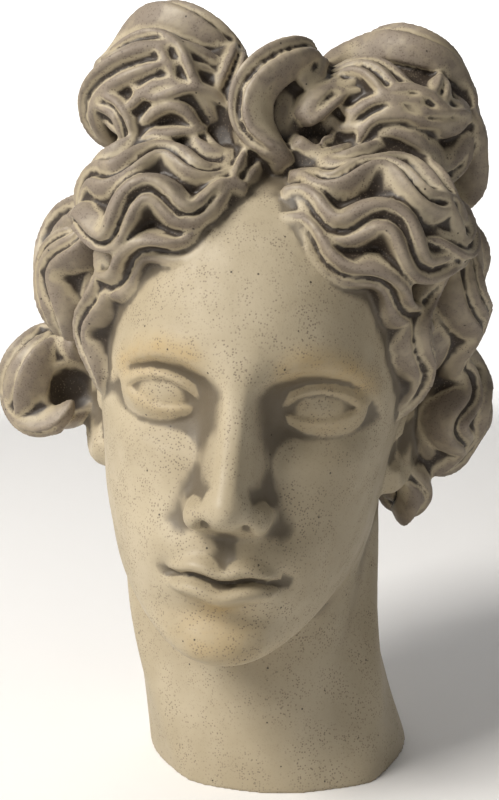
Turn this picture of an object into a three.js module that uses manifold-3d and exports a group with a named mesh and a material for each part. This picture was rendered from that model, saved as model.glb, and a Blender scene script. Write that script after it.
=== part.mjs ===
// A life-size plaster cast of a youth's head in the classical manner. It is one solid casting, cut off flat
// under the neck, with long wavy hair parted in the middle and tied in a bow above the forehead.
// Millimetres, +Z up. The origin is the middle of the flat underside and the face looks along -Y.
import * as THREE from "three";
import { mergeVertices } from "three/addons/utils/BufferGeometryUtils.js";
import Module from "manifold-3d";

const wasm = await Module();
wasm.setup();

// Driving sizes. The face from hairline to chin is three equal parts, and heights count from the eye line.
const FACE_LENGTH = 189;
const THIRD = FACE_LENGTH / 3;
const BROW = 14;
const HAIRLINE = BROW + THIRD;
const NOSE_BASE = BROW - THIRD;
const CHIN = NOSE_BASE - THIRD;
const MOUTH = NOSE_BASE - THIRD / 3;
const EYE_SPACING = 64;
const EYE_WIDTH = 30;
const MOUTH_WIDTH = 50;

// Where the head sits over the neck, and how it leans and turns
const HEAD_CENTRE = new THREE.Vector3(-12, -12, 66 - CHIN);
const HEAD_ROLL = THREE.MathUtils.degToRad(5);
const HEAD_YAW = THREE.MathUtils.degToRad(-4);

// How finely the skin and a lock are faceted
const FACET_SCALE = 0.6;
const NECK_ROWS = 5;
const LOCK_STRIDE = 8;
const RIDGE_POINTS = 1;
const THINNING = 1.4;
const THINNING_PASSES = 12;
const SLIVER = 0.25;
const WALK_STEPS = 48;

const { abs, atan2, cos, exp, hypot, max, min, PI, pow, sin, sqrt } = Math;
const clamp = THREE.MathUtils.clamp;
const lerp = THREE.MathUtils.lerp;
const step = (low, high, v) => THREE.MathUtils.smoothstep(v, low, high);
const hill = (v, middle, spread) => exp(-(((v - middle) / spread) ** 2));

// A smooth curve through [at, value] pairs, level beyond its ends
function through(keys) {
  const last = keys.length - 1;
  const slope = keys.map((_, i) => {
    const [before, after] = [keys[max(i - 1, 0)], keys[min(i + 1, last)]];
    return (after[1] - before[1]) / (after[0] - before[0]);
  });
  return (v) => {
    if (v <= keys[0][0]) return keys[0][1];
    if (v >= keys[last][0]) return keys[last][1];
    let i = 0;
    while (v > keys[i + 1][0]) i++;
    const span = keys[i + 1][0] - keys[i][0];
    const t = (v - keys[i][0]) / span;
    const [a, b] = [keys[i][1], keys[i + 1][1]];
    const bend = (1 - t) * slope[i] - t * slope[i + 1];
    return a + (b - a) * t * t * (3 - 2 * t) + span * t * (1 - t) * bend;
  };
}

// Smooth union and intersection of two depths, which are negative inside
function blend(a, b, radius) {
  const h = clamp(0.5 + (0.5 * (b - a)) / radius, 0, 1);
  return lerp(b, a, h) - radius * h * (1 - h);
}
const overlap = (a, b, radius) => -blend(-a, -b, radius);

function ellipsoidDepth(x, y, z, rx, ry, rz) {
  const k = hypot(x / rx, y / ry, z / rz);
  return (k * (k - 1)) / (hypot(x / rx ** 2, y / ry ** 2, z / rz ** 2) || 1);
}

// The plain face: its half width and forward reach at each height, before any feature
const faceHalfWidth = through([
  [-120, 22], [CHIN, 36], [-100, 46], [-85, 53], [-70, 58], [NOSE_BASE, 63],
  [-25, 65.5], [0, 66.5], [25, 67], [50, 64], [HAIRLINE, 55], [95, 38], [108, 8],
]);
const faceReach = through([
  [-122, 50], [-116, 76], [-109, 88], [-100, 92], [-87, 92.5], [-75, 95], [-66, 96.5], [-58, 96],
  [NOSE_BASE, 92.5], [-30, 88.5], [-12, 88.5], [0, 91], [BROW, 95.5], [35, 94.5], [55, 88],
  [HAIRLINE, 75], [95, 50], [108, 8],
]);
const FACE_SQUARENESS = 2.2;
const JAW_SLOPE = 0.44;

// Nose: how far its ridge stands out, and how wide it spreads, at each height
const noseHeight = through([
  [-58, 0], [-54, 0.8], [-51, 4], [-48.5, 11], [-46, 19], [-42.5, 25.5], [-38, 27.5], [-33, 26.5],
  [-24, 22.5], [-12, 17], [0, 11], [8, 7], [BROW, 4.5], [24, 1.5], [34, 0],
]);
const noseHalfWidth = through([[-50, 13], [-38, 15.5], [-25, 15], [-10, 13], [4, 12.5], [BROW, 16], [28, 24]]);

// Eye sockets: how deep they sink, and where the brow's lower edge runs, by distance from the middle
const socketDepth = through([[5, 0], [11, 3.5], [18, 8.5], [30, 8.5], [44, 5.5], [60, 0]]);
const browEdge = through([[6, 7], [14, 11], [24, 14.5], [36, 14.5], [48, 9], [60, -2]]);

// How far the modelled features stand out from the plain face at a place on it
function relief(x, z) {
  const a = abs(x);
  let out = -socketDepth(a) * (1 - step(browEdge(a) - 7, browEdge(a) + 1, z)) * step(-27, -5, z);
  out += 1.6 * hill(z, browEdge(a) + 4.5, 6) * step(8, 22, a) * (1 - step(44, 60, a));
  out += noseHeight(z) * (1 - step(0.22, 1, a / noseHalfWidth(z)));
  out += 2.6 * hill(a, 46, 16) * hill(z, -18, 14) - 1.8 * hill(a, 45, 14) * hill(z, -62, 17);
  out += 1.2 * hill(x, 0, 36) * hill(z, 48, 24) - 3 * hill(a, 66, 12) * hill(z, 28, 20);
  out -= 1.4 * hill(a, 21, 6) * hill(z, -50, 9);
  return out + lips(x, z) + chinRelief(x, z);
}

function chinRelief(x, z) {
  const fold = -2.6 * hill(z, -86.5, 5) * hill(x, 0, 20);
  return fold + 4.2 * hill(z, -101, 10.5) * hill(x, 0, 19);
}

// The line where the lips meet, and both lips round it
const mouthLine = (x) => MOUTH - 1.3 * hill(x, 0, 7) + 0.7 * hill(abs(x), 13, 7);
function lips(x, z) {
  const full = sqrt(max(0, 1 - (x / (MOUTH_WIDTH / 2)) ** 2));
  const rise = z - mouthLine(x);
  const upperHeight = 2 + 7.5 * full - 1.4 * hill(x, 0, 3.5);
  const lowerHeight = 2 + 8.5 * full;
  const upper = 4.6 * full * step(-2, 4, rise) * (1 - step(0.45, 1.5, rise / upperHeight));
  const lower = 5.4 * full * step(-1, 5, -rise) * (1 - step(0.45, 1.4, -rise / lowerHeight));
  const slit = -3.4 * hill(rise, 0, 1.6) * step(0, 0.5, full);
  const corners = -2.6 * hill(abs(x), MOUTH_WIDTH / 2 + 0.5, 4.2) * hill(z, MOUTH, 4);
  const groove = -1.2 * hill(x, 0, 3) * step(-65, -58, z) * (1 - step(-54, -49, z));
  return upper + lower + slit + corners + groove;
}

// An eyeball under lids of true thickness, as one swelling with an almond-shaped opening
const EYE_RADII = [17.5, 13, 13.2];
function eyeDepth(a, y, z) {
  const across = (a - EYE_SPACING / 2) / (EYE_WIDTH / 2);
  const arch = pow(max(0, 1 - across * across), 0.8);
  const tilt = -1.8 + 1.2 * across;
  const upperLid = 2.3 * step(-0.8, 0.8, z - (tilt + 6.3 * arch));
  const lowerLid = 1.6 * step(-0.8, 0.8, tilt - 4.8 * arch - z);
  const back = -66 + 0.28 * (a - EYE_SPACING / 2);
  return ellipsoidDepth(a - EYE_SPACING / 2, y - back, z + 1, ...EYE_RADII) - max(upperLid, lowerLid);
}

// The head in its own frame, with the eye line at height 0 and the face along -Y
function headDepth(x, y, z) {
  const a = abs(x);
  const skull = ellipsoidDepth(x, y - 10, z - 22, 75, 92, 86);
  const flat = hypot(x, y) || 1e-6;
  const [side, ahead] = [a / flat / faceHalfWidth(z), y / flat / (y < 0 ? faceReach(z) : 45)];
  const powers = pow(side, FACE_SQUARENESS) + pow(abs(ahead), FACE_SQUARENESS);
  const reach = pow(max(powers, 1e-9), -1 / FACE_SQUARENESS);
  const underJaw = (CHIN + JAW_SLOPE * (y + 92) - z) * 0.92;
  let depth = overlap(overlap(flat - reach, underJaw, 14), z - 92, 16);
  depth = blend(depth, skull, 10) - relief(x, z) * (1 - step(-45, 0, y));
  depth = blend(depth, eyeDepth(a, y, z), 2.2);
  depth = blend(depth, ellipsoidDepth(a - 12, y + 98, z + 43, 6.4, 10.5, 6.6), 3);
  return overlap(depth, -ellipsoidDepth(a - 7.6, y + 108 + 0.5 * (z + 50), z + 52, 3.1, 5.6, 9), 1.2);
}

// The neck: its middle line, half width and half depth at each height over the underside
const NECK_TOP = 128;
const neckMiddleX = through([[0, 0], [30, -6], [70, -12.5], [120, -13]]);
const neckMiddleY = through([[0, 0], [60, -4], [120, 4]]);
const neckHalfWidth = through([[0, 62.5], [30, 59], [70, 57], [120, 60]]);
const neckHalfDepth = through([[0, 68], [30, 64], [70, 61], [120, 66]]);
function neckDepth(x, y, z) {
  const [across, along] = [x - neckMiddleX(z), y - neckMiddleY(z)];
  const turn = atan2(across, -along);
  const reach = 1 / hypot(sin(turn) / neckHalfWidth(z), cos(turn) / neckHalfDepth(z));
  const band = 0.62 + 1.1 * clamp(z / 110, 0, 1);
  const bands = 3.6 * hill(turn, band, 0.2) + 2.6 * hill(turn, -band, 0.2);
  const hollows = 2.4 * hill(turn, band - 0.42, 0.22) + 1.4 * hill(turn, 0.42 - band, 0.22);
  return overlap(hypot(across, along) - reach - bands + hollows * step(0, 35, z), z - NECK_TOP, 20);
}

// The masses of hair, as middle and radii in the head's frame
const MASSES = {
  scalp: [[0, 14, 28], [82, 100, 88]],
  bandLeft: [[-36, -48, 70], [38, 29, 23]],
  bandRight: [[40, -46, 69], [40, 29, 26]],
  sideLeft: [[-73, 0, 40], [22, 38, 36]],
  sideRight: [[77, 4, 42], [22, 38, 40]],
  bowLeft: [[-46, -28, 118], [31, 23, 31]],
  bowRight: [[56, -22, 117], [38, 23, 27]],
  bowEnd: [[88, -5, 110], [11, 15, 18]],
  knot: [[4, -36, 112], [18, 20, 27]],
  curlLeft: [[-88, 14, -15], [20, 20, 19]],
  hangRight: [[88, 20, -6], [19, 22, 34]],
  tipRight: [[80, 30, -44], [14, 16, 18]],
  behindLeft: [[-58, 42, -10], [24, 30, 36]],
  behindRight: [[60, 42, -14], [26, 30, 40]],
  nape: [[0, 98, -24], [32, 20, 26]],
};
const MELT = 12;
const BED_SINK = 3;
const SCALP_SINK = 6;
const GROOVE = 0.5;
function hairDepth(x, y, z) {
  let depth = 1e3;
  for (const [[mx, my, mz], radii] of Object.values(MASSES)) {
    depth = blend(depth, ellipsoidDepth(x - mx, y - my, z - mz, ...radii), MELT);
  }
  return depth;
}

const toBust = new THREE.Matrix4()
  .makeRotationFromEuler(new THREE.Euler(0, HEAD_ROLL, HEAD_YAW, "ZYX"))
  .setPosition(HEAD_CENTRE);
const toHead = toBust.clone().invert();
const scratch = new THREE.Vector3();
function bustDepth(x, y, z) {
  scratch.set(x, y, z).applyMatrix4(toHead);
  const { x: hx, y: hy, z: hz } = scratch;
  let depth = blend(headDepth(hx, hy, hz), neckDepth(x, y, z), 9);
  for (const [name, [[mx, my, mz], radii]] of Object.entries(MASSES)) {
    const sunk = name === "scalp" ? SCALP_SINK : BED_SINK;
    depth = min(depth, ellipsoidDepth(hx - mx, hy - my, hz - mz, ...radii) + sunk);
  }
  return depth;
}

// How far from an origin, along a direction, the outermost surface lies
function reachAlong(origin, direction) {
  const depthAt = (far) => {
    const [x, y, z] = ["x", "y", "z"].map((k) => origin[k] + direction[k] * far);
    return bustDepth(x, y, z);
  };
  let outside = 150;
  while (outside > 3 && depthAt(outside - 3) > 0) outside -= 3;
  let inside = outside - 3;
  for (let i = 0; i < 14; i++) {
    const middle = (inside + outside) / 2;
    if (depthAt(middle) < 0) inside = middle;
    else outside = middle;
  }
  return inside;
}

function merged(geometry) {
  geometry.deleteAttribute("normal");
  geometry.deleteAttribute("uv");
  return mergeVertices(geometry, 1e-3);
}

function solid(geometry) {
  const closed = merged(geometry);
  const triVerts = new Uint32Array(closed.index.array);
  return new wasm.Manifold(
    new wasm.Mesh({ numProp: 3, vertProperties: closed.attributes.position.array, triVerts }),
  );
}

// Where the rays of a row start on the head's middle line, by the height the row has on the face
const rayStart = through([[-125, -66], [-95, -70], [-70, -60], [-40, -36], [0, -4], [40, 20], [108, 22]]);
const RAY_LOW = -122;
const RAY_HIGH = 100;
const rowGap = (u) => 10.5 - 7.4 * hill(u, -71, 12) - 5.5 * hill(u, -46, 7) - 7.6 * hill(u, 2, 11);
const columnGap = (degrees) => lerp(16, 3.2, hill(degrees, 16, 34)) - 0.6 * hill(degrees, 21, 9);

// Places from low to high, as far apart as a gap allows at each
function spread(low, high, gap) {
  const places = [low];
  for (let v = low; v < high; v += gap(v) * FACET_SCALE) places.push(v);
  const fit = (high - low) / (places.at(-1) + gap(places.at(-1)) * FACET_SCALE - low);
  return places.slice(1).map((v) => low + (v - low) * fit);
}

// Head and neck in one skin: rings up the neck, then rings from under the jaw to the crown
function skin() {
  const heights = spread(RAY_LOW, RAY_HIGH, rowGap);
  const side = spread(0, 180, columnGap).map((degrees) => THREE.MathUtils.degToRad(degrees));
  const turns = [-PI, ...side.slice(1).reverse().map((turn) => -turn), ...side, PI];
  const columns = turns.length - 1;
  const rows = 2 + NECK_ROWS + heights.length;
  const geometry = new THREE.SphereGeometry(1, columns, rows);
  const place = geometry.attributes.position;
  turns.forEach((turn, column) => {
    const ahead = 0.5 + 0.5 * cos(turn);
    const outward = new THREE.Vector3(sin(turn), -cos(turn), 0);
    const collarHeight = lerp(96, 62, ahead);
    const points = [new THREE.Vector3(0, 0, 0)];
    for (let row = 0; row <= NECK_ROWS; row++) {
      const z = (collarHeight * row) / NECK_ROWS;
      const origin = new THREE.Vector3(neckMiddleX(z), neckMiddleY(z), z);
      points.push(origin.addScaledVector(outward, reachAlong(origin, outward)));
    }
    const collar = points.at(-1).clone().applyMatrix4(toHead);
    const collarTurn = abs(turn) > 3 ? turn : atan2(collar.x, -collar.y);
    const collarRise = atan2(collar.z - rayStart(RAY_LOW), hypot(collar.x, collar.y));
    for (const u of heights) {
      const settled = step(RAY_LOW - 8, lerp(-30, -98, ahead), u);
      const start = lerp(rayStart(RAY_LOW), rayStart(u), settled);
      const crown = step(20, RAY_HIGH + 6, u);
      const rise = lerp(collarRise, lerp(atan2(u - start, 95), PI / 2, crown), settled);
      const round = lerp(collarTurn, turn, settled);
      const direction = new THREE.Vector3(sin(round) * cos(rise), -cos(round) * cos(rise), sin(rise));
      const origin = new THREE.Vector3(0, 0, start).applyMatrix4(toBust);
      direction.transformDirection(toBust);
      points.push(origin.clone().addScaledVector(direction, reachAlong(origin, direction)));
    }
    const top = new THREE.Vector3(0, 0, 1).transformDirection(toBust);
    points.push(HEAD_CENTRE.clone().addScaledVector(top, reachAlong(HEAD_CENTRE, top)));
    points.forEach((point, row) => {
      const index = (rows - row) * (columns + 1) + column;
      place.setXYZ(index, point.x, point.y, point.z);
    });
  });
  return solid(geometry);
}

function onHair(point) {
  for (let i = 0; i < 3; i++) {
    const out = hairNormal(point);
    point.addScaledVector(out, -hairDepth(point.x, point.y, point.z));
  }
  return point;
}

function hairNormal({ x, y, z }) {
  const e = 0.4;
  return new THREE.Vector3(
    hairDepth(x + e, y, z) - hairDepth(x - e, y, z),
    hairDepth(x, y + e, z) - hairDepth(x, y - e, z),
    hairDepth(x, y, z + e) - hairDepth(x, y, z - e),
  ).normalize();
}

// The path of a lock: it sets out over the hair towards a point, swings in waves and may curl at its end
function walk({ from, toward, length, waves, swing, phase, curl }) {
  const stride = length / WALK_STEPS;
  let point = onHair(new THREE.Vector3(...from));
  const heading = new THREE.Vector3(...toward).sub(point);
  const path = [];
  for (let i = 0; i <= WALK_STEPS; i++) {
    const share = i / WALK_STEPS;
    const normal = hairNormal(point);
    heading.addScaledVector(normal, -heading.dot(normal)).normalize();
    const wave = swing * sin(2 * PI * waves * share + phase);
    const bend = wave + curl * step(0.3, 1, share);
    const along = heading.clone().applyAxisAngle(normal, bend);
    path.push({ point, normal, along });
    point = onHair(point.clone().addScaledVector(along, stride));
  }
  return path;
}

// One lock: a tapered sweep along its path, flat beneath and ridged on top, with both ends sunk in
function lock(made) {
  const path = walk(made);
  const last = RIDGE_POINTS > 1 ? 2 * made.ridges * RIDGE_POINTS : 4;
  const steps = Math.round(made.length / LOCK_STRIDE);
  const geometry = new THREE.SphereGeometry(1, last + 1, steps);
  const place = geometry.attributes.position;
  for (let row = 0; row <= steps; row++) {
    const share = row / steps;
    const { point, normal, along } = path[Math.round(share * WALK_STEPS)];
    const across = new THREE.Vector3().crossVectors(along, normal);
    const swell = sin(PI * share) > 1e-6 ? pow(sin(PI * (0.08 + 0.92 * share)), 0.55) : 0;
    const lift = made.lift * share ** 2 + made.raise - 5 * (1 - swell);
    for (let column = 0; column <= last + 1; column++) {
      const k = column % (last + 1);
      const x = 1 - (2 * k) / last;
      const ridge = RIDGE_POINTS > 1 ? pow(abs(sin((PI * made.ridges * (x + 1)) / 2)), 0.7) : 0.9;
      const crest = made.height * sqrt(max(0, 1 - x * x)) * (1 - GROOVE + GROOVE * ridge) + made.tilt * x;
      const up = crest - (k % last === 0 ? made.root : 0);
      const spot = point.clone().addScaledVector(normal, lift + up * swell);
      spot.addScaledVector(across, (made.width / 2) * x * swell);
      spot.applyMatrix4(toBust);
      place.setXYZ(row * (last + 2) + column, spot.x, spot.y, spot.z);
    }
  }
  return solid(geometry);
}

// A sheaf of locks side by side: what is given as a pair runs from the first lock to the last
const PLAIN = { waves: 1.2, swing: 0.5, curl: 0, lift: 0, raise: 0, root: 6, ridges: 3, width: 20, height: 9, tilt: 2 };
function sheaf(count, from, toward, made) {
  const at = (pair, share) => (Array.isArray(pair) ? lerp(pair[0], pair[1], share) : pair);
  return Array.from({ length: count }, (_, i) => {
    const share = count > 1 ? i / (count - 1) : 0.5;
    const one = { ...PLAIN, ...made, phase: (made.phase ?? 0) + 0.55 * i };
    for (const k of ["length", "width", "height", "curl", "lift", "swing", "tilt"]) one[k] = at(one[k], share);
    one.from = from[0].map((v, k) => lerp(v, from[1][k], share));
    one.toward = toward[0].map((v, k) => lerp(v, toward[1][k], share));
    one.raise += 2 * (i % 2);
    return lock(one);
  });
}

function hair() {
  const locks = [
    // the bow's left loop: waves running out from the knot, a roll over its top, and a plainer back
    sheaf(5, [[-12, -50, 142], [-14, -56, 92]], [[-80, -44, 150], [-84, -44, 88]],
      { length: [90, 80], swing: 0.6, waves: 1.3, phase: 0.4, curl: [-0.9, 0.9] }),
    sheaf(2, [[-8, -34, 138], [-8, -14, 138]], [[-50, -30, 158], [-50, -10, 158]],
      { length: 98, waves: 0.7, swing: 0.35, curl: 0.7, raise: 1, height: 10 }),
    sheaf(3, [[-14, -2, 134], [-18, 0, 98]], [[-84, -10, 142], [-84, -10, 92]],
      { length: 80, waves: 1, width: 25, tilt: 0 }),
    // the bow's right loop, and the roll that ends it
    sheaf(5, [[16, -46, 142], [20, -54, 92]], [[95, -40, 148], [98, -40, 88]],
      { length: [92, 96], waves: 1.6, swing: 0.62, width: 20, phase: 3, curl: [0.9, -0.7] }),
    sheaf(2, [[16, -24, 142], [16, -8, 142]], [[60, -20, 154], [60, -4, 152]],
      { length: 98, waves: 1, swing: 0.4 }),
    sheaf(2, [[20, -2, 126], [24, 0, 100]], [[95, -6, 130], [95, -6, 92]],
      { length: 90, width: 26, tilt: 0 }),
    sheaf(3, [[86, -24, 130], [92, 10, 128]], [[96, -24, 92], [98, 12, 92]],
      { length: 60, width: 18, waves: 0.8, curl: 1 }),
    // the knot that ties the bow
    sheaf(3, [[-9, -60, 92], [17, -60, 92]], [[-12, -54, 140], [16, -54, 140]],
      { length: 86, width: 18, waves: 0.9, swing: 0.45 }),
    // bands from the parting, along the hairline and over the temples
    sheaf(4, [[-2, -88, 76], [-6, -58, 106]], [[-62, -66, 40], [-84, -34, 80]],
      { length: [104, 98], width: 19, height: 11, waves: 2, swing: 0.65, phase: 5, curl: [0.9, -0.3] }),
    sheaf(4, [[6, -88, 76], [10, -58, 106]], [[62, -66, 40], [86, -34, 80]],
      { length: [108, 98], width: 19, height: 11, waves: 2, swing: 0.65, phase: 1.8, curl: [-0.9, 0.3], tilt: -2 }),
    // side masses, each lock bowing outwards and down
    sheaf(5, [[-60, -50, 66], [-72, 30, 78]], [[-86, -44, 0], [-92, 30, 0]],
      { length: [84, 84], curl: [-1, 0.5], phase: 0.5 }),
    sheaf(5, [[66, -50, 70], [76, 34, 82]], [[92, -44, 0], [98, 30, 0]],
      { length: [92, 88], curl: [1, -0.5], phase: 2, tilt: -2 }),
    // the left curl rolls round on itself
    sheaf(2, [[-80, -6, 2], [-80, 32, 2]], [[-110, -10, 4], [-110, 36, 4]],
      { length: 84, width: 17, height: 10, waves: 0.4, swing: 0.1, curl: [3, -3] }),
    sheaf(1, [[-84, 14, 6], [-84, 14, 6]], [[-112, 14, -10], [-112, 14, -10]],
      { length: 70, width: 22, height: 8, waves: 0.6, swing: 0.3 }),
    // behind the ears, and curls hanging lower on the right
    sheaf(3, [[-76, 18, 20], [-64, 66, 20]], [[-78, 24, -50], [-50, 76, -50]],
      { length: 76, width: 22, swing: 0.4 }),
    sheaf(3, [[74, 20, 20], [62, 66, 20]], [[70, 24, -60], [50, 76, -60]],
      { length: 84, width: 22, swing: 0.4, tilt: -2 }),
    sheaf(4, [[82, -8, 24], [84, 42, 24]], [[104, -10, -20], [100, 42, -20]],
      { length: 84, width: 20, waves: 1.3, swing: 0.6, curl: [0.9, -0.8], tilt: -2 }),
    sheaf(2, [[76, 16, -28], [88, 36, -28]], [[82, 10, -60], [94, 38, -60]],
      { length: 50, width: 17, height: 8, waves: 0.8, curl: 1.4 }),
    // from the crown forward to the bow, and back to the nape
    sheaf(4, [[-32, 50, 110], [32, 50, 110]], [[-34, -40, 110], [34, -40, 110]],
      { length: 88, width: 26 }),
    sheaf(7, [[-62, 40, 90], [62, 40, 90]], [[-64, 106, 0], [64, 106, 0]],
      { length: 128, width: 28, waves: 1.4, swing: 0.3 }),
    sheaf(3, [[-24, 104, 4], [24, 104, 4]], [[-20, 120, -50], [20, 120, -50]],
      { length: 80, width: 26, waves: 0.8, swing: 0.4 }),
  ];
  return locks.flat();
}

// Thins a closed surface: a corner slides into a neighbour where no face near it moves beyond the tolerance
function thinned(solidPart, tolerance) {
  const { vertProperties, triVerts } = solidPart.getMesh();
  const corners = [];
  for (let i = 0; i < vertProperties.length; i += 3) corners.push(new THREE.Vector3().fromArray(vertProperties, i));
  const faces = [];
  for (let i = 0; i < triVerts.length; i += 3) faces.push(Array.from(triVerts.subarray(i, i + 3)));
  const round = corners.map(() => new Set());
  faces.forEach((face, f) => face.forEach((v) => round[v].add(f)));
  const moved = new Float32Array(corners.length);
  const [side, normal] = [new THREE.Vector3(), new THREE.Vector3()];

  // Twice the area of a face times its normal
  function areaNormal([a, b, c], out) {
    side.subVectors(corners[b], corners[a]);
    return out.subVectors(corners[c], corners[a]).cross(side).negate();
  }
  function neighbours(v) {
    const found = new Set();
    for (const f of round[v]) faces[f].forEach((w) => found.add(w));
    found.delete(v);
    return found;
  }
  function slideCost(v, u) {
    let worst = 0;
    for (const f of round[v]) {
      const size = areaNormal(faces[f], normal).length();
      if (size < 1e-6) continue;
      side.subVectors(corners[u], corners[v]);
      worst = max(worst, abs(normal.dot(side)) / size);
    }
    return worst + moved[v];
  }
  function canSlide(v, u) {
    const shared = [...neighbours(v)].filter((w) => neighbours(u).has(w));
    if (shared.length !== 2) return false;
    const after = new THREE.Vector3();
    return [...round[v]].every((f) => {
      if (faces[f].includes(u)) return true;
      const before = areaNormal(faces[f], normal).length();
      const next = faces[f].map((w) => (w === v ? u : w));
      const size = areaNormal(next, after).length();
      const longest = max(...next.map((w, i) => corners[w].distanceTo(corners[next[(i + 1) % 3]])));
      return size > SLIVER * longest && (before < 1e-3 || normal.dot(after) > 0.4 * before * size);
    });
  }
  function slide(v, u) {
    for (const f of round[v]) {
      if (faces[f].includes(u)) {
        faces[f].forEach((w) => w !== v && round[w].delete(f));
        faces[f] = null;
      } else {
        faces[f] = faces[f].map((w) => (w === v ? u : w));
        round[u].add(f);
      }
    }
    round[v].clear();
  }

  for (let pass = 1; pass <= THINNING_PASSES; pass++) {
    const limit = (tolerance * pass) / THINNING_PASSES;
    const slides = [];
    round.forEach((fan, v) => {
      if (!fan.size) return;
      const costs = [...neighbours(v)].map((u) => [slideCost(v, u), v, u]).sort((a, b) => a[0] - b[0]);
      slides.push(...costs.filter(([cost]) => cost < limit).slice(0, 3));
    });
    const busy = new Set();
    for (const [cost, v, u] of slides.sort((a, b) => a[0] - b[0])) {
      if (busy.has(v) || busy.has(u) || !canSlide(v, u)) continue;
      neighbours(v).forEach((w) => busy.add(w));
      busy.add(v);
      slide(v, u);
      moved[u] = max(moved[u], cost);
    }
  }
  const kept = new THREE.BufferGeometry();
  kept.setAttribute("position", new THREE.Float32BufferAttribute(corners.flatMap((v) => v.toArray()), 3));
  kept.setIndex(faces.filter(Boolean).flat());
  return kept.toNonIndexed();
}

const bust = new THREE.Group();
const casting = new THREE.MeshStandardMaterial({ color: 0xb5a88d, roughness: 0.62, metalness: 0 });

const whole = wasm.Manifold.union([skin(), ...hair()]).decompose().reduce((a, b) => (a.volume() > b.volume() ? a : b));
const mesh = new THREE.Mesh(thinned(whole, THINNING), casting);
mesh.name = "bust";
bust.add(mesh);

export default bust;
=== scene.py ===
import math

import bpy
import numpy as np
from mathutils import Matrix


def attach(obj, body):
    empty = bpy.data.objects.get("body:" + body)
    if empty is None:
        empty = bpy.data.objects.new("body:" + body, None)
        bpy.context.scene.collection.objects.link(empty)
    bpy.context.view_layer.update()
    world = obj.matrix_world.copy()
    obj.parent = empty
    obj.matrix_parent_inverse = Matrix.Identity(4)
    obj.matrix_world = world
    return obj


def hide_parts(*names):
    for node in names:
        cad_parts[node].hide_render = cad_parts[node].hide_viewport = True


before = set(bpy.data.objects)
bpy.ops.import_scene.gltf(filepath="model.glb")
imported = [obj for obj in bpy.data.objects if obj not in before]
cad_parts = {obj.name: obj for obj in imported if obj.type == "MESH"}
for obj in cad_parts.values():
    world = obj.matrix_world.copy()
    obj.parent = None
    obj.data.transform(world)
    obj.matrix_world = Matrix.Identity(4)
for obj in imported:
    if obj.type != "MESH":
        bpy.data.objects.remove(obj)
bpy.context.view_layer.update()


# The modelled head.
# The cast was taken from a head modelled in clay. It is worked out here in millimetres as depths, which are
# negative inside, in the head's own frame: eye line at height 0, face along -Y, x to the viewer's right.

FACE_LENGTH = 189.0
THIRD = FACE_LENGTH / 3
BROW = 14.0
HAIRLINE = BROW + THIRD
NOSE_BASE = BROW - THIRD
CHIN = NOSE_BASE - THIRD
MOUTH = NOSE_BASE - THIRD / 3
EYE_SPACING = 64.0
EYE_WIDTH = 30.0
MOUTH_WIDTH = 46.0
HEAD_CENTRE = np.array([-12.0, -12.0, 66.0 - CHIN])
HEAD_ROLL = math.radians(5)
HEAD_YAW = math.radians(-4)


def step(low, high, v):
    t = np.clip((v - low) / (high - low), 0, 1)
    return t * t * (3 - 2 * t)


def hill(v, middle, spread):
    return np.exp(-(((v - middle) / spread) ** 2))


def lerp(a, b, t):
    return a + (b - a) * t


def through(*keys):
    """A smooth curve through (at, value) pairs, level beyond its ends."""
    at, value = np.array(keys, float).T
    before = np.maximum(np.arange(len(at)) - 1, 0)
    after = np.minimum(np.arange(len(at)) + 1, len(at) - 1)
    slope = (value[after] - value[before]) / (at[after] - at[before])

    def curve(v):
        v = np.clip(v, at[0], at[-1])
        i = np.clip(np.searchsorted(at, v, side="right") - 1, 0, len(at) - 2)
        span = at[i + 1] - at[i]
        t = (v - at[i]) / span
        bend = (1 - t) * slope[i] - t * slope[i + 1]
        return value[i] + (value[i + 1] - value[i]) * t * t * (3 - 2 * t) + span * t * (1 - t) * bend

    return curve


def melt(a, b, radius):
    """Smooth union of two depths."""
    h = np.clip(0.5 + 0.5 * (b - a) / radius, 0, 1)
    return lerp(b, a, h) - radius * h * (1 - h)


def overlap(a, b, radius):
    """Smooth intersection of two depths."""
    return -melt(-a, -b, radius)


def egg_depth(x, y, z, rx, ry, rz):
    k = np.sqrt((x / rx) ** 2 + (y / ry) ** 2 + (z / rz) ** 2)
    slope = np.sqrt((x / rx**2) ** 2 + (y / ry**2) ** 2 + (z / rz**2) ** 2)
    return k * (k - 1) / np.maximum(slope, 1e-9)


face_half_width = through(
    (-120, 22), (CHIN, 36), (-100, 46), (-85, 53), (-70, 58), (NOSE_BASE, 63),
    (-25, 65.5), (0, 66.5), (25, 67), (50, 64), (HAIRLINE, 55), (95, 38), (108, 8),
)
face_reach = through(
    (-122, 50), (-116, 76), (-109, 88), (-100, 92), (-87, 92.5), (-75, 95), (-66, 96.5), (-58, 96),
    (NOSE_BASE, 92.5), (-30, 88.5), (-12, 88.5), (0, 91), (BROW, 95.5), (35, 94.5), (55, 88),
    (HAIRLINE, 75), (95, 50), (108, 8),
)
FACE_SQUARENESS = 2.2
JAW_SLOPE = 0.44
nose_height = through(
    (-58, 0), (-54, 0.8), (-51, 4), (-48.5, 11), (-46, 19), (-42.5, 25.5), (-38, 27.5), (-33, 26.5),
    (-24, 22.5), (-12, 17), (0, 11), (8, 7), (BROW, 4.5), (24, 1.5), (34, 0),
)
nose_half_width = through((-50, 14), (-38, 16), (-25, 16), (-10, 14.5), (4, 14), (BROW, 18), (28, 26))
socket_depth = through((5, 0), (11, 3.5), (18, 8.5), (30, 8.5), (44, 5.5), (60, 0))
brow_edge = through((6, 7), (14, 11), (24, 14.5), (36, 14.5), (48, 9), (60, -2))


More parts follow.
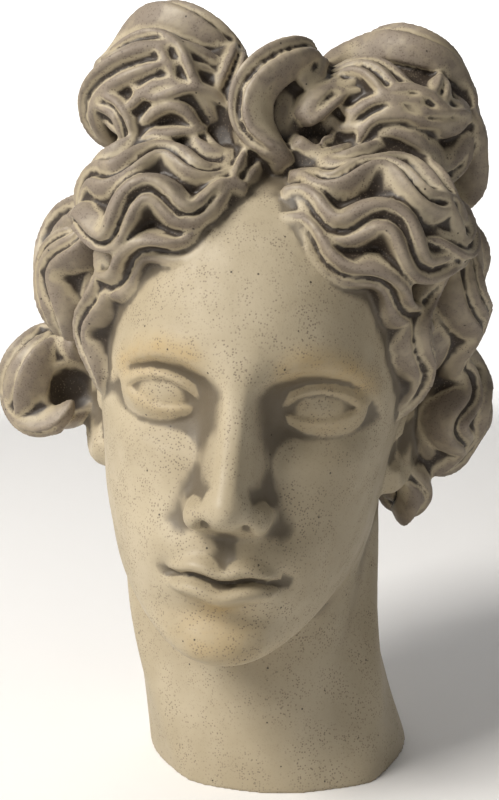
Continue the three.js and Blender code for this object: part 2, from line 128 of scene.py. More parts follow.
def lips(x, z):
    full = np.sqrt(np.maximum(0, 1 - (x / (MOUTH_WIDTH / 2)) ** 2))
    rise = z - (MOUTH - 1.5 * hill(x, 0, 6) + 1.0 * hill(abs(x), 12, 6) - 1.6 * (x / MOUTH_WIDTH * 2) ** 2)
    upper_height = 2 + 7.2 * full - 1.6 * hill(x, 0, 3.5)
    lower_height = 2 + 9.0 * full
    upper = 5.6 * full * step(-2, 4, rise) * (1 - step(0.55, 1.2, rise / upper_height))
    lower = 7.4 * full * step(-1, 5, -rise) * (1 - step(0.6, 1.12, -rise / lower_height))
    slit = -4.6 * hill(rise, 0, 1.5) * step(0, 0.5, full)
    corners = -2.6 * hill(abs(x), MOUTH_WIDTH / 2 + 0.5, 4.2) * hill(z, MOUTH, 4)
    groove = -1.2 * hill(x, 0, 3) * step(-65, -58, z) * (1 - step(-54, -49, z))
    return upper + lower + slit + corners + groove


def relief(x, z):
    """How far the modelled features stand out from the plain face."""
    a = abs(x)
    out = -socket_depth(a) * (1 - step(brow_edge(a) - 7, brow_edge(a) + 1, z)) * step(-27, -5, z)
    out += 1.6 * hill(z, brow_edge(a) + 4.5, 6) * step(8, 22, a) * (1 - step(44, 60, a))
    out += nose_height(z) * (1 - step(0.1, 1, a / nose_half_width(z)))
    out += 2.6 * hill(a, 46, 16) * hill(z, -18, 14) - 1.8 * hill(a, 45, 14) * hill(z, -62, 17)
    out += 1.2 * hill(x, 0, 36) * hill(z, 48, 24) - 3 * hill(a, 66, 12) * hill(z, 28, 20)
    out -= 1.4 * hill(a, 21, 6) * hill(z, -50, 9)
    out += -2.6 * hill(z, -86.5, 5) * hill(x, 0, 20) + 4.2 * hill(z, -101, 10.5) * hill(x, 0, 19)
    return out + lips(x, z)


def eye_depth(a, y, z):
    """An eyeball under lids of true thickness, as one swelling with an almond-shaped opening."""
    across = (a - EYE_SPACING / 2) / (EYE_WIDTH / 2)
    arch = np.maximum(0, 1 - across * across) ** 0.8
    tilt = -1.6 + 1.2 * across
    upper_lid = 3.1 * step(-0.6, 0.6, z - (tilt + 6.8 * arch))
    lower_lid = 2.2 * step(-0.6, 0.6, tilt - 4.8 * arch - z)
    back = -66 + 0.28 * (a - EYE_SPACING / 2)
    ball = egg_depth(a - EYE_SPACING / 2, y - back, z + 0.5, 17.2, 12.2, 12.8)
    return ball - np.maximum(upper_lid, lower_lid)


def ear_depth(a, y, z):
    """An ear as a shell that leans back and out, with a rim, a bowl and a lobe."""
    out, back = (a - 69) * EAR_COS - (y - 6) * EAR_SIN, (a - 69) * EAR_SIN + (y - 6) * EAR_COS
    rise = z + 20
    back = back - 0.2 * rise
    middle = np.hypot(back / EAR_DEPTH, rise / EAR_HEIGHT)
    rim = 2.6 * hill(middle, 0.82, 0.17) - 5 * hill(np.hypot((back + 3) / 8, (rise + 2) / 11), 0.3, 0.6)
    rim -= 1.6 * hill(middle, 0.55, 0.12) * step(-4, 10, rise)
    shell = egg_depth(out, back, rise, 8, EAR_DEPTH, EAR_HEIGHT) - rim * step(-1, 3, out)
    notch = egg_depth(out - 5, back + 13, rise + 8, 5, 6, 8)
    return overlap(shell, -notch, 2)


EAR_DEPTH = 16.0
EAR_HEIGHT = 29.0
EAR_SIN, EAR_COS = math.sin(0.4), math.cos(0.4)


def head_depth(x, y, z):
    a = abs(x)
    skull = egg_depth(x, y - 10, z - 22, 75, 92, 86)
    flat = np.maximum(np.hypot(x, y), 1e-6)
    side = a / flat / face_half_width(z)
    ahead = abs(y) / flat / np.where(y < 0, face_reach(z), 45)
    powers = np.maximum(side**FACE_SQUARENESS + ahead**FACE_SQUARENESS, 1e-9)
    under_jaw = (CHIN + JAW_SLOPE * (y + 92) - z) * 0.92
    depth = overlap(overlap(flat - powers ** (-1 / FACE_SQUARENESS), under_jaw, 14), z - 92, 16)
    depth = melt(depth, skull, 10) - relief(x, z) * (1 - step(-45, 0, y))
    depth = melt(depth, eye_depth(a, y, z), 2.2)
    depth = melt(depth, egg_depth(x, y + 108.5, z + 38.5, 9.2, 9.2, 7.8), 4)
    depth = melt(depth, egg_depth(a - 11.6, y + 98, z + 44, 5.8, 11.5, 6.2), 7)
    nostril = egg_depth(a - 8.2, y + 105.5 + 0.5 * (z + 50), z + 52, 3.5, 6.2, 8.6)
    depth = overlap(depth, -nostril, 1.2)
    return melt(depth, ear_depth(a, y, z), 4)


# The neck.
# The neck is cut off flat under the throat, wide enough for the head to stand on by its own weight.

NECK_TOP = 152.0
neck_middle_x = through((0, 0), (30, -6), (70, -12.5), (120, -13))
neck_middle_y = through((0, 0), (60, -4), (110, 4), (150, 16))
neck_half_width = through((0, 62.5), (30, 59), (70, 57), (120, 60))
neck_half_depth = through((0, 68), (30, 64), (70, 61), (120, 66))


def neck_depth(x, y, z):
    across, along = x - neck_middle_x(z), y - neck_middle_y(z)
    turn = np.arctan2(across, -along)
    reach = 1 / np.hypot(np.sin(turn) / neck_half_width(z), np.cos(turn) / neck_half_depth(z))
    band = 0.62 + 1.1 * np.clip(z / 110, 0, 1)
    bands = 3.6 * hill(turn, band, 0.2) + 2.6 * hill(turn, -band, 0.2)
    hollows = 2.4 * hill(turn, band - 0.42, 0.22) + 1.4 * hill(turn, 0.42 - band, 0.22)
    return overlap(np.hypot(across, along) - reach - bands + hollows * step(0, 35, z), z - NECK_TOP, 20)


# The masses of hair.
# Long hair is parted in the middle and tied in a bow on top. Egg-shaped masses carry the locks, given as
# middle and radii in the head's frame.

MASSES = {
    "scalp": ((0, 14, 28), (82, 100, 88)),
    "band left": ((-36, -48, 70), (38, 29, 23)),
    "band right": ((40, -46, 69), (40, 29, 26)),
    "side left": ((-71, 0, 40), (22, 38, 36)),
    "side right": ((74, 4, 42), (21, 38, 40)),
    "behind left": ((-58, 42, -10), (24, 30, 36)),
    "behind right": ((60, 42, -14), (26, 30, 40)),
    "nape": ((0, 80, -22), (44, 24, 30)),
    "bow left": ((-45, -28, 119), (31, 23, 31)),
    "bow right": ((51, -22, 119), (35, 23, 26)),
    "bow end": ((77, -6, 104), (13, 15, 20)),
    "knot": ((4, -36, 112), (18, 20, 27)),
    "curl left": ((-91, 14, -16), (21, 21, 23)),
    "hanging right": ((84, 22, -6), (17, 22, 34)),
    "tip right": ((73, 32, -44), (14, 16, 18)),
}
STANDING_CLEAR = ("bow left", "bow right", "bow end", "knot", "curl left", "hanging right", "tip right")
CURL_HOLLOW = ((-86, -6, -15), (12, 12, 13))
MASS_MELT = 12.0
BED_SINK = 3.0
SCALP_SINK = 6.0

roll, yaw = HEAD_ROLL, HEAD_YAW
TO_BUST = np.array([
    [math.cos(yaw), -math.sin(yaw), 0],
    [math.sin(yaw), math.cos(yaw), 0],
    [0, 0, 1],
]) @ np.array([
    [math.cos(roll), 0, math.sin(roll)],
    [0, 1, 0],
    [-math.sin(roll), 0, math.cos(roll)],
])


def in_bust(points):
    return points @ TO_BUST.T + HEAD_CENTRE


def in_head(points):
    return (points - HEAD_CENTRE) @ TO_BUST


def hair_depth(points):
    """Depth under the surface that the locks lie on."""
    depth = np.full(points.shape[:-1], 1e3)
    for middle, radii in MASSES.values():
        depth = melt(depth, egg_depth(*np.moveaxis(points - middle, -1, 0), *radii), MASS_MELT)
    return depth


def bust_depth(points):
    head = in_head(points)
    depth = melt(head_depth(*head.T), neck_depth(*points.T), 9)
    for name, (middle, radii) in MASSES.items():
        if name not in STANDING_CLEAR:
            sunk = SCALP_SINK if name == "scalp" else BED_SINK
            depth = np.minimum(depth, egg_depth(*(head - middle).T, *radii) + sunk)
    return depth


# Skin of head, neck and hair beds.
# One closed ball is added, and each of its points is moved out along a ray to the outermost surface: rings up
# the neck first, then rings from under the jaw to the crown.

NECK_ROWS = 44
RAY_LOW = -122.0
RAY_HIGH = 100.0
SKIN_GAP = 0.13
COLUMN_GAP = 0.22
ray_start = through((-125, -66), (-95, -70), (-70, -60), (-40, -36), (0, -4), (40, 20), (108, 22))


def row_gap(u):
    return SKIN_GAP * (10.5 - 7.4 * hill(u, -71, 12) - 5.5 * hill(u, -46, 7) - 7.6 * hill(u, 2, 11))


def column_gap(degrees):
    return COLUMN_GAP * (lerp(9, 3.2, hill(degrees, 16, 34)) - 0.6 * hill(degrees, 21, 9) - 3 * hill(degrees, 94, 14))


def spread(low, high, gap):
    """Places from low to just before high, as far apart as a gap allows at each."""
    places = [low]
    while places[-1] < high:
        places.append(places[-1] + gap(places[-1]))
    places = np.array(places)
    return low + (places[:-1] - low) * (high - low) / (places[-1] - low)


def reach_along(origin, direction):
    """How far along each ray the outermost surface lies."""
    outside = np.full(len(origin), 150.0)
    searching = np.ones(len(origin), bool)
    while searching.any():
        at = np.flatnonzero(searching)
        inner = origin[at] + direction[at] * (outside[at, None] - 3)
        clear = (bust_depth(inner) > 0) & (outside[at] > 3)
        outside[at[clear]] -= 3
        searching[at[~clear]] = False
    inside = outside - 3
    for _ in range(12):
        middle = (inside + outside) / 2
        within = bust_depth(origin + direction * middle[:, None]) < 0
        inside = np.where(within, middle, inside)
        outside = np.where(within, outside, middle)
    return inside


def skin_grid():
    """Points of the skin by row, from the middle of the underside to the crown, and by column round the neck."""
    side = np.radians(spread(0.0, 180.0, column_gap))
    turns = np.concatenate([-side[:0:-1], side, [math.pi]])
    heights = spread(RAY_LOW, RAY_HIGH, row_gap)
    ahead = 0.5 + 0.5 * np.cos(turns)
    outward = np.stack([np.sin(turns), -np.cos(turns), np.zeros_like(turns)], axis=1)
    collar_height = lerp(96.0, 62.0, ahead)
    rows = [np.zeros((len(turns), 3))]
    for row in range(NECK_ROWS + 1):
        z = collar_height * row / NECK_ROWS
        origin = np.stack([neck_middle_x(z), neck_middle_y(z), z], axis=1)
        rows.append(origin + outward * reach_along(origin, outward)[:, None])
    collar = in_head(rows[-1])
    collar_turn = np.arctan2(collar[:, 0], -collar[:, 1])
    collar_rise = np.arctan2(collar[:, 2] - ray_start(RAY_LOW), np.hypot(collar[:, 0], collar[:, 1]))
    for u in heights:
        settled = step(RAY_LOW - 8, lerp(-30.0, -98.0, ahead), u)
        start = lerp(ray_start(RAY_LOW), ray_start(u), settled)
        crown = step(20, RAY_HIGH + 6, u)
        rise = lerp(collar_rise, lerp(np.arctan2(u - start, 95.0), math.pi / 2, crown), settled)
        turn = np.where(abs(turns) > 3, turns, lerp(collar_turn, turns, settled))
        ray = np.stack([np.sin(turn) * np.cos(rise), -np.cos(turn) * np.cos(rise), np.sin(rise)], axis=1)
        origin = in_bust(np.stack([0 * start, 0 * start, start], axis=1))
        ray = ray @ TO_BUST.T
        rows.append(origin + ray * reach_along(origin, ray)[:, None])
    top = np.tile(TO_BUST @ [0, 0, 1], (len(turns), 1))
    centre = np.tile(HEAD_CENTRE, (len(turns), 1))
    rows.append(centre + top * reach_along(centre[:1], top[:1])[0])
    return np.array(rows)


def ball_from(grid, name):
    """A closed ball of as many rings and segments as the grid, with its points moved to the grid's."""
    rows, columns = grid.shape[:2]
    bpy.ops.object.select_all(action="DESELECT")
    bpy.ops.mesh.primitive_uv_sphere_add(segments=columns, ring_count=rows - 1, radius=1)
    ball = bpy.context.object
    ball.name = name
    place = np.empty(len(ball.data.vertices) * 3)
    ball.data.vertices.foreach_get("co", place)
    x, y, z = place.reshape(-1, 3).T
    row = np.rint(np.arccos(np.clip(-z, -1, 1)) / math.pi * (rows - 1)).astype(int)
    column = np.rint(np.arctan2(y, x) / (2 * math.pi) * columns).astype(int) % columns
    ball.data.vertices.foreach_set("co", grid[row, column].ravel())
    ball.data.update()
    return ball


def bed(name):
    """The sunk core of a mass that stands clear of the head, as a closed egg."""
    middle, radii = MASSES[name]
    bpy.ops.object.select_all(action="DESELECT")
    bpy.ops.mesh.primitive_uv_sphere_add(segments=64, ring_count=32, radius=1)
    egg = bpy.context.object
    place = np.empty(len(egg.data.vertices) * 3)
    egg.data.vertices.foreach_get("co", place)
    place = place.reshape(-1, 3) * (np.array(radii) - BED_SINK) + middle
    if name == "curl left":
        place -= hollow_out(place)
    egg.data.vertices.foreach_set("co", in_bust(place).ravel())
    egg.data.update()
    return egg


def hollow_out(place):
    """How far back each point of the left curl lies, so that the curl is hollow in front."""
    middle, radii = CURL_HOLLOW
    across = np.hypot((place[:, 0] - middle[0]) / radii[0], (place[:, 2] - middle[2]) / radii[2])
    depth = radii[1] * (1 - step(0.3, 1.2, across)) * (place[:, 1] < 14)
    return depth[:, None] * [0, -1, 0]


skin = ball_from(skin_grid(), "skin")
beds = [bed(name) for name in STANDING_CLEAR]


# Locks.
# Each lock is a tapered ribbon of two or three strands with deep grooves between, lying in waves over the
# masses, its ends tucked in. A sheaf is a few of them side by side.

WALK_STEPS = 60
LOCK_ROWS = 60
STRAND_POINTS = 7
GROOVE = 0.68
PLAIN = dict(
    waves=1.2, swing=0.5, curl=0, hook=0, turn=0, rise=0, root=6, strands=3, width=20, height=9, tilt=2, phase=0,
)
locks = []


def sheaf(count, start, toward, **made):
    """Locks side by side. What is given as a pair runs from the first lock to the last."""
    for i in range(count):
        share = i / (count - 1) if count > 1 else 0.5
        lock = {**PLAIN, **made}
        for key, value in lock.items():
            if isinstance(value, list):
                lock[key] = lerp(value[0], value[1], share)
        lock["start"] = lerp(np.array(start[0], float), np.array(start[1], float), share)
        lock["toward"] = lerp(np.array(toward[0], float), np.array(toward[1], float), share)
        chance = math.sin(12.9 * len(locks))
        lock["phase"] += 0.55 * i + 0.25 * chance
        lock["swing"] *= 1 + 0.15 * chance
        lock["rise"] += 2 * (i % 2)
        lock["lean"] = 2.4 * len(locks)
        locks.append(lock)


# the bow's left loop: waves running out from the knot, an arch and a roll over them, and a plainer back
sheaf(4, ((-16, -50, 130), (-14, -56, 90)), ((-80, -44, 138), (-84, -44, 86)),
      length=[82, 80], strands=2, width=20, height=12, swing=0.8, waves=1.7, phase=0.4, curl=[-0.7, 0.9], hook=0.8)
sheaf(1, ((-20, -48, 124), (-20, -48, 124)), ((-34, -48, 150), (-34, -48, 150)),
      length=84, strands=2, width=18, height=11, waves=1, swing=0.3, turn=2.9, rise=3)
sheaf(3, ((-8, -30, 138), (-10, -6, 140)), ((-50, -26, 160), (-50, -4, 160)),
      length=96, waves=1, swing=0.4, curl=0.7, width=21)
sheaf(3, ((-14, 0, 134), (-18, 0, 98)), ((-84, -8, 142), (-84, -10, 92)),
      length=80, waves=1, width=25, tilt=0)
# the bow's right loop, and the roll that ends it
sheaf(4, ((18, -48, 134), (20, -54, 90)), ((92, -40, 142), (96, -40, 84)),
      length=[90, 92], strands=2, waves=1.9, swing=0.75, width=20, height=12, phase=3, curl=[0.9, -0.7])
sheaf(3, ((14, -34, 142), (14, -6, 142)), ((60, -32, 156), (60, -2, 152)),
      length=90, waves=1.7, swing=0.6, width=20, height=11)
sheaf(2, ((20, 0, 128), (24, 0, 100)), ((92, -4, 132), (92, -6, 92)),
      length=84, width=26, tilt=0)
sheaf(3, ((77, -24, 124), (80, 8, 122)), ((88, -24, 88), (90, 10, 88)),
      length=58, width=18, waves=0.8, curl=1, hook=1)
# the knot that ties the bow
sheaf(2, ((-6, -60, 92), (9, -60, 92)), ((-14, -56, 140), (4, -58, 140)),
      length=[84, 78], strands=2, width=17, height=12, waves=1, swing=0.5, hook=-1.2, rise=2)
sheaf(3, ((14, -56, 128), (16, -60, 96)), ((40, -56, 146), (42, -58, 92)),
      length=46, strands=2, width=15, height=9, waves=1, swing=0.6, rise=1, hook=-1)
# bands from the parting, along the hairline and over the temples
sheaf(4, ((-2, -88, 75), (-6, -60, 104)), ((-62, -66, 38), (-84, -34, 78)),
      length=[108, 98], strands=2, width=19, height=12, waves=2.7, swing=0.8, phase=5,
      curl=[0.8, -0.3], hook=[-1.4, -0.6])
sheaf(4, ((6, -88, 75), (10, -60, 104)), ((62, -66, 38), (86, -34, 78)),
      length=[112, 98], strands=2, width=19, height=12, waves=2.7, swing=0.8, phase=1.8,
      curl=[-0.8, 0.3], hook=[1.4, 0.6], tilt=-2)
# from the top down to the side masses, and the side masses, each lock bowing outwards and down
sheaf(4, ((-44, -10, 106), (-58, 34, 94)), ((-90, -20, 60), (-90, 60, 40)),
      length=[56, 76], width=22, waves=1.2, swing=0.5)
sheaf(4, ((46, -10, 106), (60, 34, 94)), ((92, -20, 60), (92, 60, 40)),
      length=[56, 76], width=22, waves=1.2, swing=0.5, tilt=-2)
sheaf(1, ((60, -34, 88), (60, -34, 88)), ((92, -30, 40), (92, -30, 40)),
      length=56, width=22, waves=1.4, swing=0.6)
sheaf(5, ((-60, -48, 64), (-72, 30, 78)), ((-84, -44, 0), (-92, 30, 0)),
      length=[86, 86], height=11, curl=[-1, 0.5], phase=0.5, waves=1.8, swing=0.7, hook=[1.2, -0.8])
sheaf(5, ((66, -48, 66), (76, 34, 82)), ((88, -44, 0), (96, 30, 0)),
      length=[92, 88], height=11, curl=[1, -0.5], phase=2, waves=1.8, swing=0.7, hook=[-1.2, 0.8], tilt=-2)
# the left curl rolls round a hollow
sheaf(1, ((-76, 2, 6), (-76, 2, 6)), ((-100, -2, 10), (-100, -2, 10)),
      length=98, strands=2, width=18, height=11, waves=1, swing=0.1, turn=3.1)
sheaf(3, ((-76, 12, 6), (-74, 36, 6)), ((-104, 12, 12), (-100, 38, 8)),
      length=84, strands=2, width=17, height=9, waves=1, swing=0.3, turn=[0.3, -0.6])
# behind the ears, and curls hanging lower on the right
sheaf(4, ((-80, 24, 36), (-64, 68, 34)), ((-80, 30, -50), (-48, 76, -50)),
      length=88, width=22, swing=0.6, waves=1.8)
sheaf(4, ((76, 26, 36), (62, 68, 34)), ((72, 30, -60), (48, 76, -60)),
      length=96, width=22, swing=0.6, waves=1.8, tilt=-2)
sheaf(4, ((82, 2, 24), (84, 44, 24)), ((100, 0, -20), (98, 44, -20)),
      length=84, strands=2, width=19, height=11, waves=2.2, swing=0.8, curl=[0.9, -0.8], tilt=-2)
sheaf(3, ((72, 14, -26), (80, 40, -28)), ((74, 8, -60), (80, 40, -60)),
      length=50, strands=2, width=17, height=9, waves=1.2, swing=0.6, curl=1.2, hook=0.8)
# from the crown forward to the bow, and back to the nape
sheaf(5, ((-40, 50, 108), (40, 50, 108)), ((-42, -40, 108), (42, -40, 108)),
      length=92, width=24, waves=1.6, swing=0.4)
sheaf(9, ((-66, 36, 90), (66, 36, 90)), ((-66, 106, 0), (66, 106, 0)),
      length=132, width=27, waves=2.2, swing=0.45)
sheaf(3, ((-16, 98, 52), (16, 98, 52)), ((-12, 106, 0), (12, 106, 0)),
      length=62, width=24, waves=1.2, swing=0.5)
sheaf(5, ((-40, 88, 10), (40, 88, 10)), ((-38, 104, -50), (38, 104, -50)),
      length=76, width=24, waves=1.3, swing=0.5, hook=[-0.8, 0.8])


def hair_normal(points):
    out = np.empty_like(points)
    for axis in range(3):
        nudge = np.zeros(3)
        nudge[axis] = 0.4
        out[..., axis] = hair_depth(points + nudge) - hair_depth(points - nudge)
    return out / np.linalg.norm(out, axis=-1, keepdims=True)


def on_hair(points):
    for _ in range(3):
        points = points - hair_normal(points) * hair_depth(points)[..., None]
    return points


def every(key):
    return np.array([lock[key] for lock in locks], float)


def walk_all():
    """All locks at once: each sets out over the hair towards a point, swings in waves and may curl at its end."""
    points = on_hair(every("start"))
    heading = every("toward") - points
    stride = every("length") / WALK_STEPS
    path = []
    for i in range(WALK_STEPS + 1):
        share = i / WALK_STEPS
        out = hair_normal(points)
        heading -= out * (heading * out).sum(axis=1, keepdims=True)
        heading /= np.linalg.norm(heading, axis=1, keepdims=True)
        wave = every("swing") * np.sin(2 * math.pi * every("waves") * share + every("phase"))
        bend = wave + every("curl") * step(0.3, 1, share) + every("hook") * step(0.7, 1, share)
        bend = (bend + every("turn") * share)[:, None]
        along = heading * np.cos(bend) + np.cross(out, heading) * np.sin(bend)
        path.append((points, out, along))
        points = on_hair(points + along * stride[:, None])
    return [np.array(part).swapaxes(0, 1) for part in zip(*path)]


def lock_grid(lock, points, out, along):
    """Points of one lock by row along it and by column round its section."""
    share = np.linspace(0, 1, LOCK_ROWS + 1)
    at = share * WALK_STEPS
    walk = np.arange(WALK_STEPS + 1)
    points, out, along = [
        np.stack([np.interp(at, walk, part[:, axis]) for axis in range(3)], axis=1) for part in (points, out, along)
    ]
    across = np.cross(along, out)
    swell = np.sin(math.pi * (0.08 + 0.92 * share)).clip(0) ** 0.55
    swell[[0, -1]] = 0
    last = 2 * int(lock["strands"]) * STRAND_POINTS
    x = np.linspace(1, -1, last + 1)[None, :]
    drift = 0.14 * np.sin(2 * math.pi * 0.9 * share + 2 * lock["phase"])[:, None] * (1 - x * x)
    strand = abs(np.sin(math.pi * lock["strands"] * (x + drift + 1) / 2)) ** 0.7
    groove = GROOVE * step(0.0, 0.22, share)[:, None]
    lean = 1 + 0.2 * np.sin(lock["lean"] + 2.4 * x + 3 * share[:, None])
    crest = lock["height"] * lean * np.sqrt(1 - x * x) * (1 - groove + groove * strand) + lock["tilt"] * x
    crest[:, [0, -1]] -= lock["root"]
    up = (lock["rise"] - 5 * (1 - swell))[:, None] + crest * swell[:, None]
    grid = points[:, None] + out[:, None] * up[..., None]
    grid = grid + across[:, None] * (x * lock["width"] / 2 * swell[:, None])[..., None]
    return in_bust(grid)


pieces = [skin] + beds
for i, path in enumerate(zip(locks, *walk_all())):
    pieces.append(ball_from(lock_grid(*path)[:, ::-1], "lock"))


# One casting.
# Plaster was poured in one mould, so skin and locks are one body with no seams. The joined pieces are made
# one closed surface, softened a little as a mould softens it, and thinned where they are flat.

VOXEL = 0.0011
MOST_TRIANGLES = 190000

bpy.ops.object.select_all(action="DESELECT")
for piece in pieces:
    piece.select_set(True)
bpy.context.view_layer.objects.active = skin
bpy.ops.object.join()
cast = bpy.context.object
cast.name = "plaster_head"
place = np.empty(len(cast.data.vertices) * 3)
cast.data.vertices.foreach_get("co", place)
cast.data.vertices.foreach_set("co", place * 0.001)
cast.data.update()


def finish_with(kind, **settings):
    modifier = cast.modifiers.new(kind.lower(), kind)
    for key, value in settings.items():
        setattr(modifier, key, value)
    bpy.ops.object.modifier_apply(modifier=modifier.name)


finish_with("REMESH", mode="VOXEL", voxel_size=VOXEL, adaptivity=0)
finish_with("SMOOTH", factor=0.5, iterations=4)
faces = 2 * len(cast.data.polygons)
print("faces", faces)
if faces > MOST_TRIANGLES:
    finish_with("DECIMATE", ratio=MOST_TRIANGLES / faces)
bpy.ops.object.shade_smooth()
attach(cast, "root")
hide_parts("bust")


# The patina was washed on over the plaster, thin and khaki on the skin and pooling dark brown in the grooves,
# and handling rubbed the tops of the locks to a violet grey. Broad hollows are darkened brown, partly as patina
# and partly as painted shade. Attributes of the mesh say which is where.

mesh = cast.data
place = np.empty(len(mesh.vertices) * 3)
mesh.vertices.foreach_get("co", place)
place = place.reshape(-1, 3) * 1000
normal = np.empty(len(mesh.vertices) * 3)
mesh.vertices.foreach_get("normal", normal)
normal = normal.reshape(-1, 3)
ends = np.empty(len(mesh.edges) * 2, int)
mesh.edges.foreach_get("vertices", ends)
ends = ends.reshape(-1, 2)
ends = np.concatenate([ends, ends[:, ::-1]])
neighbours = np.bincount(ends[:, 0], minlength=len(place))


def smoothed(values, times):
    """The values after each point has moved halfway to the mean of its neighbours, some times over."""
    for _ in range(times):
        sums = [np.bincount(ends[:, 0], values[ends[:, 1], axis], len(values)) for axis in range(values.shape[1])]
        values = (values + np.stack(sums, axis=1) / neighbours[:, None]) / 2
    return values


def keep(name, values):
    mesh.attributes.new(name, "FLOAT", "POINT").data.foreach_set("value", values.astype(np.float32))


softened = smoothed(place, 10)
plain = smoothed(softened, 110)
x, y, z = in_head(place).T
a = abs(x)
above_skin = melt(head_depth(x, y, z), neck_depth(*place.T), 9)
hair = step(0.6, 2.4, above_skin)
keep("hair", smoothed(hair[:, None], 4)[:, 0])
keep("ridge", smoothed(((place - softened) * normal).sum(axis=1)[:, None], 2)[:, 0])
# height above a broadly smoothed surface: negative in broad hollows, which are darkened below as patina and painted
# shade
keep("height", ((softened - plain) * normal).sum(axis=1))
brow_wash = hill(z, brow_edge(a) + 3, 5.5) * step(10, 20, a) * (1 - step(46, 60, a))
lid_wash = hill(np.hypot((a - EYE_SPACING / 2) / 1.5, z - 1), 9, 5)
chin_wash = hill(np.hypot(x / 1.6, z + 97), 0, 12) + hill(np.hypot(x / 2, z + 82), 0, 5)
keep("ochre", (brow_wash + 0.5 * lid_wash + 0.8 * chin_wash) * (1 - hair) * step(0, 20, -y))


class Paint:
    """Nodes of one material, each made by a short call."""

    def __init__(self, name):
        self.material = bpy.data.materials.new(name)
        self.material.use_nodes = True
        self.tree = self.material.node_tree
        self.shader = self.tree.nodes["Principled BSDF"]

    def node(self, kind, inputs=(), **settings):
        made = self.tree.nodes.new(kind)
        for key, value in settings.items():
            setattr(made, key, value)
        for key, value in dict(inputs).items():
            self.feed(made.inputs[key], value)
        return made

    def feed(self, socket, value):
        if isinstance(value, bpy.types.NodeSocket):
            self.tree.links.new(value, socket)
        else:
            socket.default_value = value

    def attribute(self, name):
        return self.node("ShaderNodeAttribute", attribute_name=name).outputs["Fac"]

    def noise(self, size, detail=3, rough=0.6, warp=0.0):
        """Noise with features of a size in metres."""
        where = self.node("ShaderNodeTexCoord").outputs["Object"]
        made = self.node("ShaderNodeTexNoise", {
            "Vector": where, "Scale": 1 / size, "Detail": detail, "Roughness": rough, "Distortion": warp,
        })
        return made.outputs["Fac"]

    def specks(self, size, radius, some=0.0):
        """One where a scattered dot is. A share of the dots is left out by noise."""
        where = self.node("ShaderNodeTexCoord").outputs["Object"]
        cells = self.node("ShaderNodeTexVoronoi", {"Vector": where, "Scale": 1 / size, "Randomness": 1.0})
        dot = self.ramp(cells.outputs["Distance"], radius * 1.3, radius * 0.7)
        chosen = self.node("ShaderNodeSeparateColor", {"Color": cells.outputs["Color"]}).outputs["Red"]
        return self.times(dot, self.ramp(chosen, some, some + 0.02))

    def ramp(self, value, low, high, bottom=0.0, top=1.0):
        """The value carried smoothly from low..high to bottom..top."""
        if low > high:
            low, high, bottom, top = high, low, top, bottom
        made = self.node("ShaderNodeMapRange", {
            "Value": value, "From Min": low, "From Max": high, "To Min": bottom, "To Max": top,
        }, interpolation_type="SMOOTHSTEP")
        return made.outputs["Result"]

    def times(self, first, second):
        return self.node("ShaderNodeMath", {0: first, 1: second}, operation="MULTIPLY").outputs[0]

    def plus(self, first, second):
        return self.node("ShaderNodeMath", {0: first, 1: second}, operation="ADD").outputs[0]

    def over(self, below, above, share):
        """A colour laid over another by a share."""
        made = self.node("ShaderNodeMix", data_type="RGBA")
        self.feed(made.inputs["Factor"], share)
        self.feed(made.inputs["A"], below)
        self.feed(made.inputs["B"], above)
        return made.outputs["Result"]


KHAKI = (0.36, 0.30, 0.20, 1)
PALE_KHAKI = (0.44, 0.375, 0.265, 1)
VIOLET_GREY = (0.17, 0.135, 0.11, 1)
GROOVE_BROWN = (0.032, 0.022, 0.014, 1)
# brown of the broad hollows: partly patina, partly painted shade
PATINA_AND_SHADE_BROWN = (0.11, 0.083, 0.052, 1)
OCHRE = (0.42, 0.30, 0.135, 1)
SPECK_BROWN = (0.13, 0.10, 0.07, 1)
BARE_PLASTER = (0.75, 0.70, 0.60, 1)

paint = Paint("patinated_plaster")
hair, ridge, height = paint.attribute("hair"), paint.attribute("ridge"), paint.attribute("height")
broad, middling = paint.noise(0.05, 4), paint.noise(0.012, 4)
colour = paint.over(KHAKI, PALE_KHAKI, paint.ramp(broad, 0.35, 0.7))
colour = paint.over(colour, OCHRE, paint.times(paint.attribute("ochre"), paint.ramp(middling, 0.2, 0.7, 0.25, 0.75)))
rubbed = paint.times(paint.ramp(ridge, 0.0, 0.35), paint.ramp(middling, 0.3, 0.6, 0.4, 1))
colour = paint.over(colour, VIOLET_GREY, paint.times(paint.times(rubbed, hair), 0.8))
# painted shade mixed with patina: broad hollows darkened brown, strongly in the hair and lightly on the skin
patina_and_shade_hollow = paint.times(paint.ramp(height, -0.3, -2.6), paint.ramp(hair, 0, 1, 0.2, 0.9))
colour = paint.over(colour, PATINA_AND_SHADE_BROWN, patina_and_shade_hollow)
colour = paint.over(colour, GROOVE_BROWN, paint.times(paint.ramp(ridge, -0.06, -0.42), paint.ramp(hair, 0, 1, 0.7, 1)))
dusting = paint.times(paint.specks(0.0011, 0.32, 0.2), paint.ramp(middling, 0.38, 0.62, 0.1, 0.7))
colour = paint.over(colour, SPECK_BROWN, dusting)
colour = paint.over(colour, GROOVE_BROWN, paint.times(paint.specks(0.005, 0.09, 0.7), 0.9))
paint.feed(paint.shader.inputs["Base Color"], colour)
paint.feed(paint.shader.inputs["Roughness"], paint.ramp(middling, 0.3, 0.7, 0.5, 0.68))
grain = paint.plus(paint.times(paint.noise(0.0016, 3), 0.5), paint.times(dusting, -0.5))
bump = paint.node("ShaderNodeBump", {"Strength": 0.35, "Distance": 0.0005, "Height": grain})
paint.feed(paint.shader.inputs["Normal"], bump.outputs["Normal"])
cast.data.materials.clear()
cast.data.materials.append(paint.material)


# The studio has a white paper sweep, a large soft lamp at the upper left in front, and the photograph's view.

SWEEP_WIDTH = 8.0
SWEEP_FRONT = -4.0
SWEEP_BACK = 2.2
SWEEP_HEIGHT = 4.0
SWEEP_BEND = 0.9

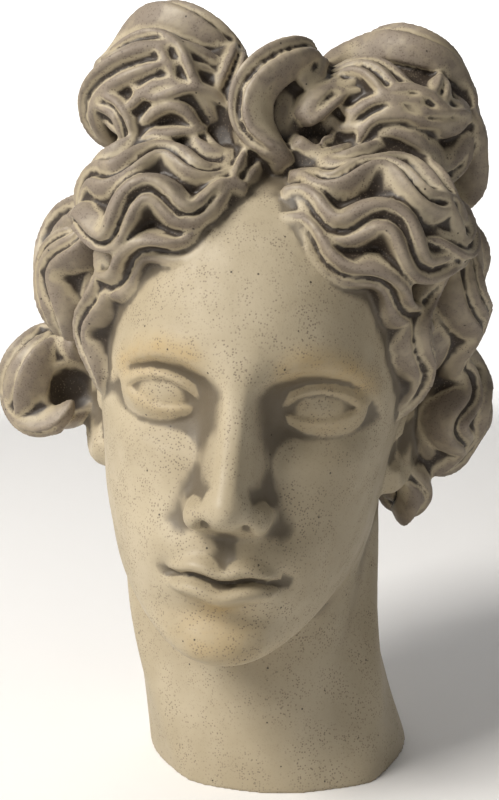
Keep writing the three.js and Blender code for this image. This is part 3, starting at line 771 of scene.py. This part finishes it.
bpy.ops.object.select_all(action="DESELECT")
bpy.ops.mesh.primitive_plane_add(size=1)
floor = bpy.context.object
floor.name = "floor"
floor.scale = (SWEEP_WIDTH, SWEEP_BACK - SWEEP_FRONT, 1)
floor.location = (0, (SWEEP_BACK + SWEEP_FRONT) / 2, 0)
bpy.ops.object.transform_apply(location=True, rotation=False, scale=True)
bpy.ops.object.mode_set(mode="EDIT")
bpy.ops.mesh.select_mode(type="EDGE")
bpy.ops.mesh.select_all(action="DESELECT")
bpy.ops.object.mode_set(mode="OBJECT")
for edge in floor.data.edges:
    edge.select = all(floor.data.vertices[v].co.y > 0 for v in edge.vertices)
bpy.ops.object.mode_set(mode="EDIT")
bpy.ops.mesh.extrude_region_move(TRANSFORM_OT_translate={"value": (0, 0, SWEEP_HEIGHT)})
bpy.ops.object.mode_set(mode="OBJECT")
for edge in floor.data.edges:
    edge.select = all(v.co.y > 0 and v.co.z < 0.1 for v in (floor.data.vertices[i] for i in edge.vertices))
bpy.ops.object.mode_set(mode="EDIT")
bpy.ops.mesh.bevel(offset=SWEEP_BEND, segments=24, affect="EDGES")
bpy.ops.object.mode_set(mode="OBJECT")
bpy.ops.object.shade_smooth()
paper = bpy.data.materials.new("white_paper")
paper.use_nodes = True
paper.node_tree.nodes["Principled BSDF"].inputs["Base Color"].default_value = (0.86, 0.855, 0.85, 1)
paper.node_tree.nodes["Principled BSDF"].inputs["Roughness"].default_value = 0.85
floor.data.materials.append(paper)

world = bpy.data.worlds.new("room")
bpy.context.scene.world = world
world.use_nodes = True
world.node_tree.nodes["Background"].inputs["Color"].default_value = (1, 0.99, 0.98, 1)
world.node_tree.nodes["Background"].inputs["Strength"].default_value = 0.2

bpy.ops.object.light_add(type="AREA", location=(-1.25, -0.85, 1.4))
lamp = bpy.context.object
lamp.data.size = 0.8
lamp.data.energy = 50
lamp.data.color = (1, 0.965, 0.91)
lamp.rotation_euler = (math.radians(51), 0, math.radians(-55))

bpy.ops.object.light_add(type="AREA", location=(0, 1.0, 1.4), rotation=(math.radians(90), 0, 0))
back_lamp = bpy.context.object
back_lamp.data.size = 1.6
back_lamp.data.energy = 30

bpy.ops.object.camera_add(location=(-0.014, -0.56, 0.24), rotation=(math.radians(90 - 7.6), 0, 0))
camera = bpy.context.object
camera.data.sensor_fit = "AUTO"
camera.data.sensor_width = 36
camera.data.lens = 1185 / 800 * 36
bpy.context.scene.camera = camera
bpy.context.scene.view_settings.view_transform = "Standard"
